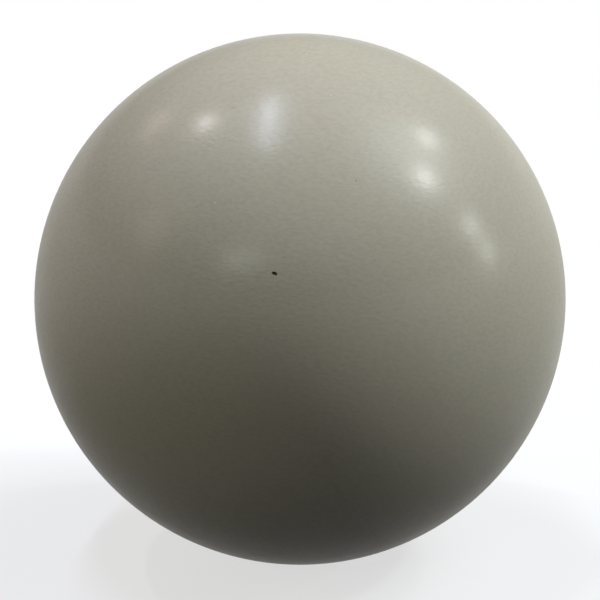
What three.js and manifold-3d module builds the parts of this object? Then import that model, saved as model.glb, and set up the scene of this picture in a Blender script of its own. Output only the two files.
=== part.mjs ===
// A bocce ball: two half covers bonded rim to rim over a poured ballast core,
// with a plug in the fill hole and a peg in the vent hole, both ground flush.
// Millimetres, +Z up, origin at the ball's centre. The moulding axis is Y and the front cover faces -Y.
import * as THREE from "three";
import { mergeVertices } from "three/addons/utils/BufferGeometryUtils.js";
import Module from "manifold-3d";

// Ball and covers
const ballDiameter = 107;
const coverWall = 8;

// Clearances: around the poured core, and around the bonded fits
const coreClearance = 0.3;
const fitClearance = 0.2;

// Tongue of the rear cover, in the groove of the front cover, and the adhesive between their ends
const tongueWidth = 2.4;
const tongueHeight = 3;
const rimBondThickness = 0.8;

// Ribs inside each cover, which key the core to it; their ends in degrees from the rim plane
const ribCount = 4;
const ribWidth = 3;
const ribHeight = 2.5;
const ribFirstAngle = 45;
const ribNearRim = 14;
const ribNearPole = 58;

// Fill hole in the rear pole: the plug's shank, how far its head overhangs, the ledge that carries the head
const plugShankDiameter = 13;
const plugHeadOverhang = 3;
const plugLedge = 3.4;
const plugBondThickness = 0.5;

// Vent hole beside the plug, and the wall that is left between the two
const ventDiameter = 4;
const ventLand = 4.5;

// Small oval nick in the front cover: its place in degrees from the ball's centre, its tilt and its size
const nickToLeft = 4.79;
const nickAboveLevel = 17.5;
const nickTilt = 25;
const nickLength = 0.96;
const nickWidth = 0.54;
const nickDepth = 0.4;

// Fineness of the facets, and how close two points are when they count as one
const sidesRound = 48;
const outerRings = 12;
const innerRings = 9;
const ribSteps = 5;
const barSides = 24;
const nickSides = 10;
const nickRings = 6;
const samePoint = 1e-4;

// Worked-out radii and heights
const ballRadius = ballDiameter / 2;
const cavityRadius = ballRadius - coverWall;
const coreRadius = cavityRadius - coreClearance;
const rimMiddle = ballRadius - coverWall / 2;
const tongueInner = rimMiddle - tongueWidth / 2;
const tongueOuter = rimMiddle + tongueWidth / 2;
const grooveDepth = tongueHeight + rimBondThickness;
const shankRadius = plugShankDiameter / 2;
const fillHoleRadius = shankRadius + fitClearance;
const headRadius = shankRadius + plugHeadOverhang;
const headSeatRadius = headRadius + fitClearance;
const ledgeLevel = Math.sqrt(cavityRadius ** 2 - fillHoleRadius ** 2) + plugLedge;
const headUnderside = ledgeLevel + plugBondThickness;
const ventHoleRadius = ventDiameter / 2 + fitClearance;
const ventOffset = headSeatRadius + ventLand + ventHoleRadius;
const pastBall = ballDiameter;

const wasm = await Module();
wasm.setup();

// A closed geometry as a solid that can be joined and cut
function solidFrom(geometry) {
  const bare = geometry.clone();
  bare.deleteAttribute("normal");
  bare.deleteAttribute("uv");
  const merged = mergeVertices(bare, samePoint);
  return new wasm.Manifold(
    new wasm.Mesh({
      numProp: 3,
      vertProperties: new Float32Array(merged.attributes.position.array),
      triVerts: new Uint32Array(merged.index.array),
    }),
  );
}

// A finished solid as a geometry with flat-shaded facets
function geometryFrom(solid) {
  const mesh = solid.getMesh();
  const geometry = new THREE.BufferGeometry();
  geometry.setAttribute("position", new THREE.BufferAttribute(mesh.vertProperties, 3));
  geometry.setIndex(new THREE.BufferAttribute(mesh.triVerts, 1));
  const faceted = geometry.toNonIndexed();
  faceted.computeVertexNormals();
  return faceted;
}

// Points of an arc about the ball's centre, by degrees from the rim plane; a pole lies on the axis itself
function arc(radius, fromDegrees, toDegrees, rings) {
  const points = [];
  for (let i = 0; i <= rings; i++) {
    const degrees = THREE.MathUtils.lerp(fromDegrees, toDegrees, i / rings);
    const angle = THREE.MathUtils.degToRad(degrees);
    const fromAxis = Math.abs(degrees) === 90 ? 0 : radius * Math.cos(angle);
    points.push(new THREE.Vector2(fromAxis, radius * Math.sin(angle)));
  }
  return points;
}

function corners(...pairs) {
  return pairs.map(([fromAxis, along]) => new THREE.Vector2(fromAxis, along));
}

function turned(profile) {
  return solidFrom(new THREE.LatheGeometry(profile, sidesRound));
}

function wholeBall(radius, ringsPerQuarter) {
  return turned(arc(radius, -90, 90, 2 * ringsPerQuarter));
}

// A round bar along Y from one level to another, whose axis may stand above the ball's own
function bar(radius, fromLevel, toLevel, above = 0) {
  const shape = new THREE.CylinderGeometry(radius, radius, toLevel - fromLevel, barSides);
  shape.translate(0, (fromLevel + toLevel) / 2, above);
  return solidFrom(shape);
}

// A curved rib on the cavity's wall, rooted halfway into the wall; side is -1 in front and 1 behind.
// The slot that it leaves in the core is the same rib, grown on every side.
function rib(index, side, grow) {
  const growAngle = grow / cavityRadius;
  const start = side * (THREE.MathUtils.degToRad(ribNearRim) - growAngle);
  const end = side * (THREE.MathUtils.degToRad(ribNearPole) + growAngle);
  const outline = new THREE.Shape();
  outline.absarc(0, 0, rimMiddle, start, end, side < 0);
  outline.absarc(0, 0, cavityRadius - ribHeight - grow, end, start, side > 0);
  const width = ribWidth + 2 * grow;
  const shape = new THREE.ExtrudeGeometry(outline, {
    depth: width,
    bevelEnabled: false,
    curveSegments: ribSteps,
  });
  shape.translate(0, 0, -width / 2);
  shape.rotateY(THREE.MathUtils.degToRad(ribFirstAngle + (360 / ribCount) * index));
  return solidFrom(shape);
}

function ribs(side, grow) {
  let joined = rib(0, side, grow);
  for (let index = 1; index < ribCount; index++) {
    joined = joined.add(rib(index, side, grow));
  }
  return joined;
}

// An egg of the nick's size, tilted on the surface at the front pole and then turned to its place
function nickCutter() {
  const egg = new THREE.SphereGeometry(1, nickSides, nickRings);
  egg.scale(nickLength / 2, nickDepth, nickWidth / 2);
  egg.rotateY(THREE.MathUtils.degToRad(nickTilt));
  egg.translate(0, -ballRadius, 0);
  egg.rotateX(THREE.MathUtils.degToRad(-nickAboveLevel));
  egg.rotateZ(THREE.MathUtils.degToRad(-nickToLeft));
  return solidFrom(egg);
}

function frontCover() {
  const profile = [
    ...arc(ballRadius, -90, 0, outerRings),
    ...corners(
      [tongueOuter + fitClearance, 0],
      [tongueOuter + fitClearance, -grooveDepth],
      [tongueInner - fitClearance, -grooveDepth],
      [tongueInner - fitClearance, 0],
    ),
    ...arc(cavityRadius, 0, -90, innerRings),
  ];
  return turned(profile).add(ribs(-1, 0)).subtract(nickCutter());
}

function rearCover() {
  const profile = [
    ...arc(cavityRadius, 90, 0, innerRings),
    ...corners(
      [tongueInner, 0],
      [tongueInner, -tongueHeight],
      [tongueOuter, -tongueHeight],
      [tongueOuter, 0],
    ),
    ...arc(ballRadius, 0, 90, outerRings),
  ];
  const fillHole = bar(fillHoleRadius, 0, pastBall);
  const headSeat = bar(headSeatRadius, ledgeLevel, pastBall);
  const ventHole = bar(ventHoleRadius, 0, pastBall, ventOffset);
  return turned(profile).add(ribs(1, 0)).subtract(fillHole).subtract(headSeat).subtract(ventHole);
}

// The adhesive between the end of the tongue and the floor of the groove
function rimBond() {
  const profile = corners(
    [tongueInner, -grooveDepth],
    [tongueOuter, -grooveDepth],
    [tongueOuter, -tongueHeight],
    [tongueInner, -tongueHeight],
    [tongueInner, -grooveDepth],
  );
  return turned(profile);
}

function ballastCore() {
  const slots = ribs(-1, coreClearance).add(ribs(1, coreClearance));
  return wholeBall(coreRadius, innerRings).subtract(slots);
}

// The plug's shank ends level with the cavity, and its head is ground to the ball
function fillPlug() {
  const shank = bar(shankRadius, cavityRadius, pastBall);
  const head = bar(headRadius, headUnderside, pastBall);
  return shank.add(head).intersect(wholeBall(ballRadius, outerRings));
}

// The adhesive between the plug's head and its ledge
function plugBond() {
  const disc = bar(headRadius, ledgeLevel, headUnderside);
  return disc.subtract(bar(fillHoleRadius, 0, pastBall));
}

function ventPeg() {
  const peg = bar(ventDiameter / 2, 0, pastBall, ventOffset);
  return peg.intersect(wholeBall(ballRadius, outerRings)).subtract(wholeBall(cavityRadius, innerRings));
}

const coverResin = { color: 0xbeb8a5, roughness: 0.4, metalness: 0 };
const plugResin = { color: 0xb8b29f, roughness: 0.42, metalness: 0 };
const ballastResin = { color: 0x7d766a, roughness: 0.85, metalness: 0 };
const adhesive = { color: 0xb59a5e, roughness: 0.4, metalness: 0 };

const pieces = [
  ["front_cover", frontCover(), coverResin],
  ["rear_cover", rearCover(), coverResin],
  ["rim_bond_ring", rimBond(), adhesive],
  ["ballast_core", ballastCore(), ballastResin],
  ["fill_plug", fillPlug(), plugResin],
  ["plug_bond_ring", plugBond(), adhesive],
  ["vent_peg", ventPeg(), plugResin],
];

const ball = new THREE.Group();
for (const [name, solid, finish] of pieces) {
  const mesh = new THREE.Mesh(geometryFrom(solid), new THREE.MeshStandardMaterial(finish));
  mesh.name = name;
  ball.add(mesh);
}

export default ball;
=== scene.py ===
import math

import bmesh
import bpy
from mathutils import Matrix, Vector, noise


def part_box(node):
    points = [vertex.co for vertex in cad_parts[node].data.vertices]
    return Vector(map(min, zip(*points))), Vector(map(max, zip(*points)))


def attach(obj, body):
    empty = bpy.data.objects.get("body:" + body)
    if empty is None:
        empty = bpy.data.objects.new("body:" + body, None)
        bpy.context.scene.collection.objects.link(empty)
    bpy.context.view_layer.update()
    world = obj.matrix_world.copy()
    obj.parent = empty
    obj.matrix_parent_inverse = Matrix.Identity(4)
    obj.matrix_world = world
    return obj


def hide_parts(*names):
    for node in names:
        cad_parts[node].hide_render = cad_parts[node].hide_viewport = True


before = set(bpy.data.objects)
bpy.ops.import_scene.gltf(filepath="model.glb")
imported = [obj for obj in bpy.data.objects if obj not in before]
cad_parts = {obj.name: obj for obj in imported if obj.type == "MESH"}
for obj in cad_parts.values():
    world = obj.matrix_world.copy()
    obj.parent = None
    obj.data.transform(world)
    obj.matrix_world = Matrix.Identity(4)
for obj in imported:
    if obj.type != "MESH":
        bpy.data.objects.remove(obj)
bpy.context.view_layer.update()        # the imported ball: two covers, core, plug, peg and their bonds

scene = bpy.context.scene
scene.view_settings.view_transform = "Standard"

mm = 0.001
weld = 0.0005 * mm       # points closer than this are one point
onWall = 0.02 * mm       # how far a flat facet may dip under the round wall it belongs to
crease = 35              # degrees, an edge that bends more than this is shaded sharp

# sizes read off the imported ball; it is turned about Y, and the front cover faces -Y
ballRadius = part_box("front_cover")[1].x
plugLow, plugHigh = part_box("fill_plug")
cavityRadius = plugLow.y
headRadius = plugHigh.x
ledgeLevel, headUnderside = (corner.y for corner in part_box("plug_bond_ring"))
bondLow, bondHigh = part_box("rim_bond_ring")
tongueOuter = bondHigh.x
tongueInner = ballRadius + cavityRadius - tongueOuter      # the tongue stands midway in the wall
tongueEnd = bondHigh.y
grooveFloor = bondLow.y
pegLow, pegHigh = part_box("vent_peg")
pegRadius = pegHigh.x
ventAbove = (pegLow.z + pegHigh.z) / 2

fits = {
    "bonded": 0.2 * mm,       # play round the tongue, the plug and the peg
    "shankRadius": 6.5 * mm,  # thin end of the plug
}
facets = {
    "round": 180,             # round the ball
    "outer": 60,              # from the rim to the pole, outside
    "inner": 30,              # and inside
}
fillHoleRadius = fits["shankRadius"] + fits["bonded"]
headSeatRadius = headRadius + fits["bonded"]
ventHoleRadius = pegRadius + fits["bonded"]


# small drawing tools: a profile is drawn beside the Y axis, then spun round it

def levelAt(radius, fromAxis):
    return math.sqrt(radius ** 2 - fromAxis ** 2)


def startAt(bm, fromAxis, level):
    return bm.verts.new((fromAxis, level, 0))


def lineTo(bm, vert, fromAxis, level):
    end = bmesh.ops.extrude_vert_indiv(bm, verts=[vert])["verts"][0]
    end.co = (fromAxis, level, 0)
    return end


def lastVert(spun):
    return next(item for item in spun["geom_last"] if isinstance(item, bmesh.types.BMVert))


def arcTo(bm, vert, degrees, steps):
    return lastVert(bmesh.ops.spin(bm, geom=[vert], cent=(0, 0, 0), axis=(0, 0, 1),
                                   angle=math.radians(degrees), steps=steps))


def spinRound(bm, steps):
    bmesh.ops.spin(bm, geom=bm.verts[:] + bm.edges[:], cent=(0, 0, 0), axis=(0, 1, 0),
                   angle=2 * math.pi, steps=steps, use_merge=True)
    tidy(bm)


def tidy(bm):
    bmesh.ops.remove_doubles(bm, verts=bm.verts, dist=weld)
    bmesh.ops.recalc_face_normals(bm, faces=bm.faces)


def roundEdges(bm, edges, size, segments):
    bmesh.ops.bevel(bm, geom=edges, offset=size, offset_type="OFFSET", segments=segments,
                    profile=0.5, affect="EDGES", material=-1)


def roundRing(bm, fromAxis, level, size, segments):
    def onRing(vert):
        wide = math.hypot(vert.co.x, vert.co.z)
        return abs(wide - fromAxis) < onWall and abs(vert.co.y - level) < onWall
    ring = [edge for edge in bm.edges if all(onRing(vert) for vert in edge.verts)]
    roundEdges(bm, ring, size, segments)


def facesOn(bm, radius):
    return [face for face in bm.faces
            if all(abs(vert.co.length - radius) < onWall for vert in face.verts)]


def toMesh(name, bm):
    tidy(bm)
    mesh = bpy.data.meshes.new(name)
    bm.to_mesh(mesh)
    bm.free()
    mesh.shade_smooth()
    return mesh


def finishPiece(name, bm, material, node):
    mesh = toMesh(name, bm)
    mesh.set_sharp_from_angle(angle=math.radians(crease))
    mesh.materials.append(material)
    piece = bpy.data.objects.new(name, mesh)
    scene.collection.objects.link(piece)
    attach(piece, "root")
    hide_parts(node)
    print(name, len(mesh.polygons), "faces")


# nick in the front cover: degrees from the middle of the front, then its oval
nick = {
    "toLeft": 4.79,
    "aboveLevel": 17.5,
    "tilt": 25,               # long way down to the right
    "length": 0.96 * mm,
    "width": 0.54 * mm,
    "depth": 0.4 * mm,
    "ragged": 0.22,           # how uneven its outline is
    "raggedScale": 2600,
    "refine": ((2.6 * mm, 4), (0.9 * mm, 3)),   # finer facets near it: reach, cuts
}
nickTurn = (Matrix.Rotation(math.radians(-nick["toLeft"]), 3, "Z")
            @ Matrix.Rotation(math.radians(-nick["aboveLevel"]), 3, "X")
            @ Matrix.Rotation(math.radians(nick["tilt"]), 3, "Y"))
nickPlace = nickTurn @ Vector((0, -ballRadius, 0))


# materials
noiseRoughness = 0.55         # of every noise
noiseMiddle = (0.3, 0.7)      # most of a noise lies between these


def addNode(tree, kind, values=None, **settings):
    made = tree.nodes.new("ShaderNode" + kind)
    for name, value in settings.items():
        setattr(made, name, value)
    for socket, value in (values or {}).items():
        made.inputs[socket].default_value = value
    return made


def joinTo(tree, source, target):
    tree.links.new(source, target)


def newMaterial(name):
    material = bpy.data.materials.new(name)
    material.use_nodes = True
    tree = material.node_tree
    shader = tree.nodes["Principled BSDF"]
    where = addNode(tree, "TexCoord").outputs["Object"]
    return material, tree, shader, where


def stretched(tree, where, stretch):
    made = addNode(tree, "Mapping", {"Scale": stretch})
    joinTo(tree, where, made.inputs["Vector"])
    return made.outputs["Vector"]


def noiseOn(tree, where, scale, detail):
    made = addNode(tree, "TexNoise", {"Scale": scale, "Detail": detail, "Roughness": noiseRoughness})
    joinTo(tree, where, made.inputs["Vector"])
    return made.outputs["Fac"]


def spread(tree, value, fromLow, fromHigh, toLow, toHigh):
    made = addNode(tree, "MapRange", {1: fromLow, 2: fromHigh, 3: toLow, 4: toHigh},
                   interpolation_type="SMOOTHSTEP")
    joinTo(tree, value, made.inputs["Value"])
    return made.outputs["Result"]


def mathOf(tree, operation, first, second=None, amount=None):
    made = addNode(tree, "Math", operation=operation)
    joinTo(tree, first, made.inputs[0])
    if second is not None:
        joinTo(tree, second, made.inputs[1])
    if amount is not None:
        made.inputs[1].default_value = amount
    return made.outputs[0]


def blendColour(tree, factor, first, second):
    made = addNode(tree, "Mix", data_type="RGBA")
    joinTo(tree, factor, made.inputs["Factor"])
    for socket, colour in ((made.inputs[6], first), (made.inputs[7], second)):
        if isinstance(colour, bpy.types.NodeSocket):
            joinTo(tree, colour, socket)
        else:
            socket.default_value = (*colour, 1)
    return made.outputs[2]


def bumpTo(tree, height, strength, distance, target):
    bump = addNode(tree, "Bump", {"Strength": strength, "Distance": distance})
    joinTo(tree, height, bump.inputs["Height"])
    joinTo(tree, bump.outputs["Normal"], target)


# ivory-grey cast resin, burnished to a satin and a little used
# clouds, grain, polish, scuffs and relief are noises: scale per metre, detail
coverLook = {
    "pale": (0.531, 0.494, 0.387),
    "deep": (0.501, 0.465, 0.362),
    "clouds": (30, 3),                  # soft clouds in the casting
    "grain": (1000, 3),                 # fine grain that runs level round the ball
    "grainStretch": (1.0, 1.0, 1.9),
    "grainBand": (0.35, 0.7),
    "grainDark": 0.13,
    "specks": (85, 0.016, 0.4, 0.6),    # sparse round dots: scale, size in cells, share of cells, how dark
    "speckStretch": (1.0, 1.0, 1.0),
    "flecks": (320, 0.11, 0.4, 0.28),   # short level dots, the same
    "fleckStretch": (1.0, 1.0, 2.5),
    "speckShade": (0.20, 0.185, 0.15),
    "roughness": (0.36, 0.44),          # satin body
    "polish": (120, 4),                 # how unevenly it is polished
    "scuffs": (160, 6),                 # duller where it has been scuffed
    "scuffStretch": (1.0, 1.0, 2.0),
    "scuffBand": (0.58, 0.72),
    "scuffRough": 0.06,
    "ior": 1.6,
    "mirror": 0.007,                    # specular level of the satin body
    "gloss": 0.22,                      # thin burnished gloss over it
    "glossRoughness": 0.235,
    "glossIor": 1.8,
    "relief": (1000, 2),                # fine polishing marks, level round the ball
    "reliefStretch": (0.75, 0.75, 2.0),
    "reliefStrength": 1.0,
    "reliefHeight": 0.026 * mm,         # in the body
    "glossRelief": 0.019 * mm,          # in the gloss, which mottles the glints
}


# a small dot in some cells of a cell pattern, fading from half its size
def dotsOn(tree, where, scale, size, share, dark):
    cells = addNode(tree, "TexVoronoi", {"Scale": scale})
    joinTo(tree, where, cells.inputs["Vector"])
    spots = spread(tree, cells.outputs["Distance"], size / 2, size, dark, 0)
    shown = addNode(tree, "SeparateColor")
    joinTo(tree, cells.outputs["Color"], shown.inputs["Color"])
    some = mathOf(tree, "LESS_THAN", shown.outputs["Red"], amount=share)
    return mathOf(tree, "MULTIPLY", spots, some)


def resin(name, look, marks=True):
    material, tree, shader, where = newMaterial(name)
    clouds = spread(tree, noiseOn(tree, where, *look["clouds"]), *noiseMiddle, 0, 1)
    colour = blendColour(tree, clouds, look["pale"], look["deep"])
    grain = noiseOn(tree, stretched(tree, where, look["grainStretch"]), *look["grain"])
    grain = spread(tree, grain, *look["grainBand"], 0, look["grainDark"])
    specks = dotsOn(tree, stretched(tree, where, look["speckStretch"]), *look["specks"])
    flecks = dotsOn(tree, stretched(tree, where, look["fleckStretch"]), *look["flecks"])
    for factor in (grain, specks, flecks):
        colour = blendColour(tree, factor, colour, look["speckShade"])
    if marks:
        colour = frontMarks(tree, where, colour)
    joinTo(tree, colour, shader.inputs["Base Color"])

    polish = spread(tree, noiseOn(tree, where, *look["polish"]), *noiseMiddle, *look["roughness"])
    scuffs = noiseOn(tree, stretched(tree, where, look["scuffStretch"]), *look["scuffs"])
    scuffs = spread(tree, scuffs, *look["scuffBand"], 0, look["scuffRough"])
    joinTo(tree, mathOf(tree, "ADD", polish, scuffs), shader.inputs["Roughness"])

    relief = noiseOn(tree, stretched(tree, where, look["reliefStretch"]), *look["relief"])
    bumpTo(tree, relief, look["reliefStrength"], look["reliefHeight"], shader.inputs["Normal"])
    bumpTo(tree, relief, look["reliefStrength"], look["glossRelief"], shader.inputs["Coat Normal"])
    shader.inputs["IOR"].default_value = look["ior"]
    shader.inputs["Specular IOR Level"].default_value = look["mirror"]
    shader.inputs["Coat Weight"].default_value = look["gloss"]
    shader.inputs["Coat Roughness"].default_value = look["glossRoughness"]
    shader.inputs["Coat IOR"].default_value = look["glossIor"]
    return material


# marks on the covers alone: painted shade and dirt in the nick, dirt along the seam, and single specks on
# the front
markLook = {
    # near-black in the nick: painted shade of the dent, with its dirt
    "nickShadeAndDirt": (0.012, 0.010, 0.006),
    "nickEdge": (0.85, 1.25),           # where that painted shade and dirt fade, in half sizes of the nick
    "seamDirt": (0.20, 0.185, 0.15),
    "seamEdge": (0.048 * mm, 0.16 * mm),
    "seamStrength": 0.7,
    "specks": (                         # degrees left, degrees above level, shade
        (-10.45, 55.4, (0.70, 0.68, 0.60)),
        (-12.57, 34.85, (0.24, 0.22, 0.18)),
        (18.25, 30.24, (0.66, 0.64, 0.56)),
    ),
    "speckEdge": (0.08 * mm, 0.26 * mm),
    "speckStrength": 0.75,
}


def frontMarks(tree, where, colour):
    for toLeft, aboveLevel, shade in markLook["specks"]:
        left, above = math.radians(toLeft), math.radians(aboveLevel)
        place = ballRadius * Vector((-math.sin(left) * math.cos(above),
                                     -math.cos(left) * math.cos(above), math.sin(above)))
        away = addNode(tree, "VectorMath", {1: place}, operation="DISTANCE")
        joinTo(tree, where, away.inputs[0])
        dot = spread(tree, away.outputs["Value"], *markLook["speckEdge"], markLook["speckStrength"], 0)
        colour = blendColour(tree, dot, colour, shade)

    oval = addNode(tree, "Mapping", {
        "Location": nickPlace,
        "Rotation": nickTurn.to_euler(),
        "Scale": (nick["length"] / 2, nick["depth"], nick["width"] / 2),
    }, vector_type="TEXTURE")
    joinTo(tree, where, oval.inputs["Vector"])
    reach = addNode(tree, "VectorMath", operation="LENGTH")
    joinTo(tree, oval.outputs["Vector"], reach.inputs[0])
    # the nick is painted near-black: painted shade in the dent, with dirt
    inNick = spread(tree, reach.outputs["Value"], *markLook["nickEdge"], 1, 0)
    colour = blendColour(tree, inNick, colour, markLook["nickShadeAndDirt"])

    axes = addNode(tree, "SeparateXYZ")
    joinTo(tree, where, axes.inputs["Vector"])
    fromSeam = mathOf(tree, "ABSOLUTE", axes.outputs["Y"])
    onSeam = spread(tree, fromSeam, *markLook["seamEdge"], markLook["seamStrength"], 0)
    return blendColour(tree, onSeam, colour, markLook["seamDirt"])


coverResin = resin("coverResin", coverLook)

# the plug and the peg are cast from another batch, a touch deeper and duller, their grain round their axis
plugLook = dict(coverLook, pale=(0.496, 0.462, 0.360), deep=(0.463, 0.430, 0.334),
                roughness=(0.38, 0.46), grainStretch=(1.0, 1.9, 1.0), fleckStretch=(1.0, 2.5, 1.0),
                reliefStretch=(0.75, 2.0, 0.75))
plugResin = resin("plugResin", plugLook, marks=False)

# poured core: mineral grit in grey-brown resin, never polished
ballastLook = {
    "grit": (0.300, 0.270, 0.220),
    "binder": (0.120, 0.100, 0.075),
    "gritScale": 520,
    "gritBand": (0.2, 0.75),
    "roughness": (0.75, 0.95),
    "bumpStrength": 0.8,
    "bumpHeight": 0.08 * mm,
}


def ballast():
    material, tree, shader, where = newMaterial("ballastResin")
    cells = addNode(tree, "TexVoronoi", {"Scale": ballastLook["gritScale"]})
    joinTo(tree, where, cells.inputs["Vector"])
    grains = spread(tree, cells.outputs["Distance"], *ballastLook["gritBand"], 0, 1)
    joinTo(tree, blendColour(tree, grains, ballastLook["grit"], ballastLook["binder"]),
           shader.inputs["Base Color"])
    joinTo(tree, spread(tree, grains, 0, 1, *ballastLook["roughness"]), shader.inputs["Roughness"])
    bumpTo(tree, grains, ballastLook["bumpStrength"], ballastLook["bumpHeight"], shader.inputs["Normal"])
    return material


# set adhesive: amber, cloudy with fine bubbles
adhesiveLook = {
    "clear": (0.520, 0.370, 0.135),
    "cloudy": (0.400, 0.275, 0.090),
    "clouds": (240, 3),
    "bubbles": (1500, 1),
    "roughness": (0.32, 0.5),
    "bumpStrength": 0.6,
    "bumpHeight": 0.03 * mm,
}


def adhesive():
    material, tree, shader, where = newMaterial("adhesive")
    clouds = spread(tree, noiseOn(tree, where, *adhesiveLook["clouds"]), *noiseMiddle, 0, 1)
    joinTo(tree, blendColour(tree, clouds, adhesiveLook["clear"], adhesiveLook["cloudy"]),
           shader.inputs["Base Color"])
    joinTo(tree, spread(tree, clouds, 0, 1, *adhesiveLook["roughness"]), shader.inputs["Roughness"])
    bubbles = noiseOn(tree, where, *adhesiveLook["bubbles"])
    bumpTo(tree, bubbles, adhesiveLook["bumpStrength"], adhesiveLook["bumpHeight"], shader.inputs["Normal"])
    return material


ballastResin = ballast()
bondAdhesive = adhesive()
for nodeName, material in (("ballast_core", ballastResin), ("rim_bond_ring", bondAdhesive),
                           ("plug_bond_ring", bondAdhesive)):
    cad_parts[nodeName].material_slots[0].material = material
print("materials made")


# ribs inside both covers, which key the poured core
ribs = {
    "count": 4,
    "firstAngle": 45,         # degrees round Y from +X
    "width": 3.0 * mm,
    "height": 2.5 * mm,
    "nearRim": 14,            # degrees from the rim plane
    "nearPole": 58,
}


def cutWall(bm, point, normal):
    wall = facesOn(bm, cavityRadius)
    edges = {edge for face in wall for edge in face.edges}
    verts = {vert for face in wall for vert in face.verts}
    bmesh.ops.bisect_plane(bm, geom=[*verts, *edges, *wall], dist=weld, plane_co=point, plane_no=normal)


def raiseRibs(bm, side):
    rimLevel = cavityRadius * math.sin(math.radians(ribs["nearRim"]))
    poleLevel = cavityRadius * math.sin(math.radians(ribs["nearPole"]))
    for level in (rimLevel, poleLevel):
        cutWall(bm, (0, side * level, 0), (0, 1, 0))
    across = []
    for index in range(ribs["count"] // 2):          # a cut across the ball gives two ribs
        turn = Matrix.Rotation(math.radians(ribs["firstAngle"] + 360 / ribs["count"] * index), 3, "Y")
        across.append(turn @ Vector((0, 0, 1)))
        for half in (-0.5, 0.5):
            cutWall(bm, across[-1] * half * ribs["width"], across[-1])
    footprints = []
    for face in facesOn(bm, cavityRadius):
        middle = face.calc_center_median()
        onRib = any(abs(middle.dot(way)) < ribs["width"] / 2 for way in across)
        if onRib and rimLevel < middle.y * side < poleLevel:
            footprints.append(face)
    raised = bmesh.ops.extrude_face_region(bm, geom=footprints)["geom"]
    bmesh.ops.delete(bm, geom=footprints, context="FACES")      # the wall under the ribs
    tops = [item for item in raised if isinstance(item, bmesh.types.BMVert)]
    inward = (cavityRadius - ribs["height"]) / cavityRadius
    bmesh.ops.scale(bm, verts=tops, vec=(inward, inward, inward))


# front cover: the half that shows, with a groove in its rim
seam = {"round": 0.12 * mm, "segments": 3}      # hairline where the covers meet


def pressNick(bm):
    for reach, cuts in nick["refine"]:
        near = [face for face in facesOn(bm, ballRadius)
                if any((vert.co - nickPlace).length < reach for vert in face.verts)]
        edges = list({edge for face in near for edge in face.edges})
        bmesh.ops.subdivide_edges(bm, edges=edges, cuts=cuts, use_grid_fill=True)
        for face in facesOn(bm, ballRadius):
            for vert in face.verts:
                vert.co = vert.co.normalized() * ballRadius
    longWay = nickTurn @ Vector((1, 0, 0))
    shortWay = nickTurn @ Vector((0, 0, 1))
    for vert in bm.verts:
        away = vert.co - nickPlace
        if away.length > nick["length"]:
            continue
        share = math.hypot(2 * away.dot(longWay) / nick["length"], 2 * away.dot(shortWay) / nick["width"])
        share *= 1 + nick["ragged"] * noise.noise(vert.co * nick["raggedScale"])
        if share < 1:
            vert.co -= vert.co.normalized() * nick["depth"] * math.sqrt(1 - share ** 2)


def makeFrontCover():
    bm = bmesh.new()
    pen = startAt(bm, 0, -ballRadius)
    pen = arcTo(bm, pen, 90, facets["outer"])
    pen = lineTo(bm, pen, tongueOuter + fits["bonded"], 0)
    pen = lineTo(bm, pen, tongueOuter + fits["bonded"], grooveFloor)
    pen = lineTo(bm, pen, tongueInner - fits["bonded"], grooveFloor)
    pen = lineTo(bm, pen, tongueInner - fits["bonded"], 0)
    pen = lineTo(bm, pen, cavityRadius, 0)
    arcTo(bm, pen, -90, facets["inner"])
    spinRound(bm, facets["round"])
    roundRing(bm, ballRadius, 0, seam["round"], seam["segments"])
    raiseRibs(bm, -1)
    pressNick(bm)
    finishPiece("frontCover", bm, coverResin, "front_cover")


# rear cover: tongue on its rim, stepped fill hole at the pole, vent hole above that
vent = {
    "segments": 48,
    "clear": 1.25,            # the wall is opened this many times wider, then closed up to the hole
    "edgeRound": 0.08 * mm,
    "edgeSegments": 2,
}
fillHole = {"edgeRound": 0.08 * mm, "edgeSegments": 2}


def cutVent(bm):
    def nearVent(vert):
        aside = math.hypot(vert.co.x, vert.co.z - ventAbove)
        return vert.co.y > 0 and aside < ventHoleRadius * vent["clear"]
    place = Matrix.Translation((0, 0, ventAbove)) @ Matrix.Rotation(math.radians(90), 4, "X")
    rings = []
    for radius in (ballRadius, cavityRadius):
        inTheWay = [face for face in facesOn(bm, radius) if any(nearVent(vert) for vert in face.verts)]
        bmesh.ops.delete(bm, geom=inTheWay, context="FACES")
        opening = [edge for edge in bm.edges if edge.is_boundary]
        made = bmesh.ops.create_circle(bm, segments=vent["segments"], radius=ventHoleRadius, matrix=place)
        for vert in made["verts"]:
            vert.co.y = levelAt(radius, math.hypot(vert.co.x, vert.co.z))
        ring = list({edge for vert in made["verts"] for edge in vert.link_edges})
        bmesh.ops.bridge_loops(bm, edges=opening + ring)
        rings.append(ring)
    bmesh.ops.bridge_loops(bm, edges=rings[0] + rings[1])
    roundEdges(bm, rings[0], vent["edgeRound"], vent["edgeSegments"])


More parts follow.
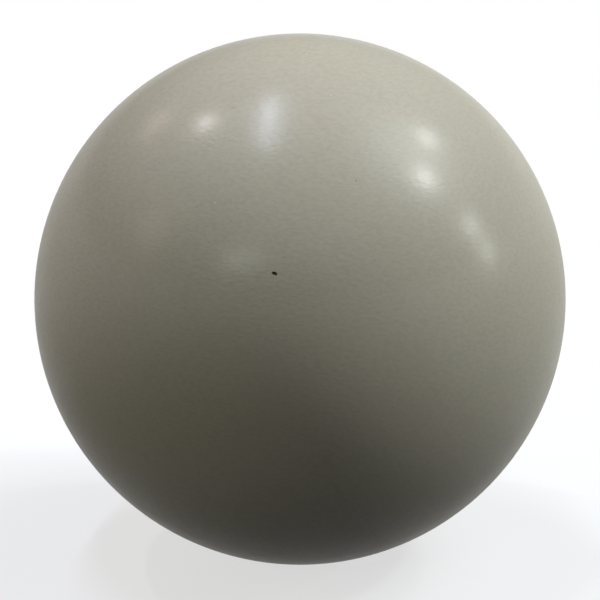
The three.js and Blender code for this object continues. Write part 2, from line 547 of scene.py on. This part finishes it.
def makeRearCover():
    bm = bmesh.new()
    seatTop = math.degrees(math.acos(headSeatRadius / ballRadius))
    holeInside = math.degrees(math.acos(fillHoleRadius / cavityRadius))
    pen = startAt(bm, ballRadius, 0)
    pen = arcTo(bm, pen, seatTop, facets["outer"])
    pen = lineTo(bm, pen, headSeatRadius, ledgeLevel)
    pen = lineTo(bm, pen, fillHoleRadius, ledgeLevel)
    pen = lineTo(bm, pen, fillHoleRadius, levelAt(cavityRadius, fillHoleRadius))
    pen = arcTo(bm, pen, -holeInside, facets["inner"])
    pen = lineTo(bm, pen, tongueInner, 0)
    pen = lineTo(bm, pen, tongueInner, tongueEnd)
    pen = lineTo(bm, pen, tongueOuter, tongueEnd)
    pen = lineTo(bm, pen, tongueOuter, 0)
    lineTo(bm, pen, ballRadius, 0)
    spinRound(bm, facets["round"])
    cutVent(bm)
    roundRing(bm, ballRadius, 0, seam["round"], seam["segments"])
    roundRing(bm, headSeatRadius, levelAt(ballRadius, headSeatRadius),
              fillHole["edgeRound"], fillHole["edgeSegments"])
    raiseRibs(bm, 1)
    finishPiece("rearCover", bm, coverResin, "rear_cover")


# plug: its head is ground to the ball, its shank ends level with the cavity
plug = {
    "steps": 96,
    "domeRings": 12,
    "edgeRound": 0.08 * mm,
    "edgeSegments": 2,
    "endRound": 0.6 * mm,
    "endSegments": 3,
}


def makeFillPlug():
    bm = bmesh.new()
    domeEdge = math.degrees(math.asin(headRadius / ballRadius))
    pen = startAt(bm, 0, ballRadius)
    pen = arcTo(bm, pen, -domeEdge, plug["domeRings"])
    pen = lineTo(bm, pen, headRadius, headUnderside)
    pen = lineTo(bm, pen, fits["shankRadius"], headUnderside)
    pen = lineTo(bm, pen, fits["shankRadius"], cavityRadius)
    lineTo(bm, pen, 0, cavityRadius)
    spinRound(bm, plug["steps"])
    roundRing(bm, headRadius, levelAt(ballRadius, headRadius), plug["edgeRound"], plug["edgeSegments"])
    roundRing(bm, fits["shankRadius"], cavityRadius, plug["endRound"], plug["endSegments"])
    finishPiece("fillPlug", bm, plugResin, "fill_plug")


# peg: a short round bar, its ends follow the wall outside and inside
peg = {
    "segments": 48,
    "insets": 2,              # rings on each end
    "endFacing": 0.9,         # a face that looks this much along Y is on an end
    "edgeRound": 0.07 * mm,
    "edgeSegments": 2,
}


def makeVentPeg():
    bm = bmesh.new()
    depth = ballRadius - cavityRadius
    place = Matrix.Translation((0, cavityRadius + depth / 2, ventAbove))
    bmesh.ops.create_cone(bm, cap_ends=True, cap_tris=False, segments=peg["segments"],
                          radius1=pegRadius, radius2=pegRadius, depth=depth,
                          matrix=place @ Matrix.Rotation(math.radians(-90), 4, "X"))
    tidy(bm)
    for radius, way in ((ballRadius, 1), (cavityRadius, -1)):
        end = [face for face in bm.faces if face.normal.y * way > peg["endFacing"]]
        rim = list(end[0].edges)
        for _ in range(peg["insets"]):
            bmesh.ops.inset_region(bm, faces=end, thickness=pegRadius / (peg["insets"] + 1))
        end = [face for face in bm.faces if face.normal.y * way > peg["endFacing"]]
        for vert in {vert for face in end for vert in face.verts}:
            vert.co.y = levelAt(radius, math.hypot(vert.co.x, vert.co.z))
        roundEdges(bm, rim, peg["edgeRound"], peg["edgeSegments"])
    finishPiece("ventPeg", bm, plugResin, "vent_peg")


makeFrontCover()
makeRearCover()
makeFillPlug()
makeVentPeg()
print("ball modelled")


# camera, straight in front and a little above
view = {
    "lens": 85,
    "sensor": 36,
    "away": 290.23 * mm,
    "above": 13,              # degrees
    "aimDrop": 0.18 * mm,     # it looks this far under the ball's middle
    "clip": (0.01, 100),      # metres
}


def makeCamera():
    camera = bpy.data.objects.new("camera", bpy.data.cameras.new("camera"))
    camera.data.lens = view["lens"]
    camera.data.sensor_width = view["sensor"]
    camera.data.clip_start, camera.data.clip_end = view["clip"]
    above = math.radians(view["above"])
    target = Vector((0, 0, -view["aimDrop"]))
    camera.location = target + view["away"] * Vector((0, -math.cos(above), math.sin(above)))
    camera.rotation_euler = (math.radians(90) - above, 0, 0)
    scene.collection.objects.link(camera)
    scene.camera = camera


# plain pale floor with a cove all round: it takes the shadow near the ball and is a white backdrop
# further off, and it sends little light up on the ball
floor = {
    "flat": 6.9,              # metres, from the ball to the cove
    "cove": 1.2,
    "wall": 0.8,
    "steps": 96,
    "coveSteps": 16,
    "pale": (0.90, 0.90, 0.90),           # as it is seen
    "sentBack": (0.012, 0.009, 0.005),    # as it lights the ball from below
    "shadowReach": (0.3, 1.2),    # metres from the ball, where the lit floor fades into plain white
    "nearWhite": 0.65,            # share of plain white close to the ball, which keeps the shadow light
}


def floorFinish():
    material = bpy.data.materials.new("floor")
    material.use_nodes = True
    tree = material.node_tree
    tree.nodes.clear()
    rays = addNode(tree, "LightPath")
    seen = mathOf(tree, "MAXIMUM", rays.outputs["Is Camera Ray"], rays.outputs["Is Glossy Ray"])
    seen = mathOf(tree, "MAXIMUM", seen, rays.outputs["Is Transmission Ray"])
    lit = addNode(tree, "BsdfDiffuse")
    joinTo(tree, blendColour(tree, seen, floor["sentBack"], floor["pale"]), lit.inputs["Color"])
    away = addNode(tree, "VectorMath", operation="LENGTH")
    joinTo(tree, addNode(tree, "TexCoord").outputs["Object"], away.inputs[0])
    far = spread(tree, away.outputs["Value"], *floor["shadowReach"], floor["nearWhite"], 1)
    white = addNode(tree, "Emission", {"Strength": 1.0})
    blend = addNode(tree, "MixShader")
    joinTo(tree, mathOf(tree, "MULTIPLY", far, seen), blend.inputs["Fac"])
    joinTo(tree, lit.outputs["BSDF"], blend.inputs[1])
    joinTo(tree, white.outputs["Emission"], blend.inputs[2])
    joinTo(tree, blend.outputs["Shader"], addNode(tree, "OutputMaterial").inputs["Surface"])
    return material


def makeFloor():
    bm = bmesh.new()
    level = -ballRadius
    pen = bm.verts.new((0, 0, level))
    pen = bmesh.ops.extrude_vert_indiv(bm, verts=[pen])["verts"][0]
    pen.co = (floor["flat"], 0, level)
    pen = lastVert(bmesh.ops.spin(bm, geom=[pen], cent=(floor["flat"], 0, level + floor["cove"]),
                                  axis=(0, -1, 0), angle=math.radians(90), steps=floor["coveSteps"]))
    top = bmesh.ops.extrude_vert_indiv(bm, verts=[pen])["verts"][0]
    top.co = pen.co + Vector((0, 0, floor["wall"]))
    bmesh.ops.spin(bm, geom=bm.verts[:] + bm.edges[:], cent=(0, 0, 0), axis=(0, 0, 1),
                   angle=2 * math.pi, steps=floor["steps"], use_merge=True)
    mesh = toMesh("floor", bm)
    mesh.materials.append(floorFinish())
    sweep = bpy.data.objects.new("floor", mesh)
    scene.collection.objects.link(sweep)


# ways to the lights are in degrees: round from the camera's side towards the right, then up
def wayTo(turn, rise):
    turn, rise = math.radians(turn), math.radians(rise)
    return Vector((math.sin(turn) * math.cos(rise), -math.cos(turn) * math.cos(rise), math.sin(rise)))


# soft studio light, wide glows in the sky: way, focus, colour
glows = {
    "highRight": ((89, 54), 24, (6.10, 6.47, 7.06)),
    "left": ((280, 26), 4.5, (0.33, 0.275, 0.125)),
    "highLeft": ((270, 52), 10, (0.46, 0.51, 0.67)),
}


def makeGlows():
    world = bpy.data.worlds.new("studio")
    scene.world = world
    world.use_nodes = True
    tree = world.node_tree
    way = addNode(tree, "TexCoord").outputs["Generated"]
    total = None
    for comesFrom, focus, colour in glows.values():
        facing = addNode(tree, "VectorMath", {1: wayTo(*comesFrom)}, operation="DOT_PRODUCT")
        joinTo(tree, way, facing.inputs[0])
        towards = mathOf(tree, "MAXIMUM", facing.outputs["Value"], amount=0)
        lit = mathOf(tree, "POWER", towards, amount=focus)
        added = addNode(tree, "VectorMath", {1: colour, 2: (0, 0, 0)}, operation="MULTIPLY_ADD")
        joinTo(tree, lit, added.inputs[0])
        if total is not None:
            joinTo(tree, total, added.inputs[2])
        total = added.outputs["Vector"]
    joinTo(tree, total, tree.nodes["Background"].inputs["Color"])


# small lamps that give the glints: way to one end, way to the other end, width in metres, watts, colour
lamps = {
    "star": ((247.2, 59.3), (247.2, 59.3), 0.20, 37.0, (1.0, 0.94, 0.96)),
    "strip": ((204.4, 71.6), (319.0, 72.2), 0.25, 95.0, (0.79, 0.85, 1.0)),
    "stripHalo": ((204.4, 71.6), (319.0, 72.2), 1.50, 19.0, (0.48, 0.58, 1.0)),
    "rightBack": ((112.4, 50.6), (109.0, 46.4), 0.60, 39.0, (0.95, 1.0, 1.0)),
    "rightFront": ((82.4, 45.5), (82.4, 45.5), 0.62, 63.5, (0.97, 1.0, 0.97)),
    "rightLow": ((86.9, 24.3), (86.9, 24.3), 0.64, 33.0, (0.97, 1.0, 0.98)),
    "rightLower": ((89.3, 14.9), (89.3, 14.9), 0.64, 25.0, (0.95, 1.0, 0.95)),
    "leftBack": ((236.5, 37.4), (225.8, 43.0), 0.45, 12.5, (1.0, 0.74, 0.65)),
    "frontLeft": ((324.0, 24.8), (342.8, 29.1), 0.42, 21.0, (0.94, 1.0, 0.92)),
    "leftSoft": ((282.1, 28.1), (288.0, 27.5), 1.50, 14.0, (1.0, 0.94, 0.80)),
}
lampAway = 6.0                # metres from the ball's middle


def makeLamps():
    for name, (oneEnd, otherEnd, width, power, colour) in lamps.items():
        first, last = (wayTo(*end) * lampAway for end in (oneEnd, otherEnd))
        light = bpy.data.lights.new(name, "AREA")
        light.shape = "ELLIPSE"
        light.size = max(width, (last - first).length)
        light.size_y = width
        light.energy = power
        light.color = colour
        lamp = bpy.data.objects.new(name, light)
        middle = (first + last) / 2
        backWay = middle.normalized()          # a lamp shines along its own -Z
        longWay = (last - first if oneEnd != otherEnd else backWay.orthogonal()).normalized()
        turn = Matrix((longWay, backWay.cross(longWay), backWay)).transposed()
        lamp.matrix_world = Matrix.Translation(middle) @ turn.to_4x4()
        lamp.visible_camera = False
        scene.collection.objects.link(lamp)


makeCamera()
makeFloor()
makeGlows()
makeLamps()
print("camera, floor and light set")
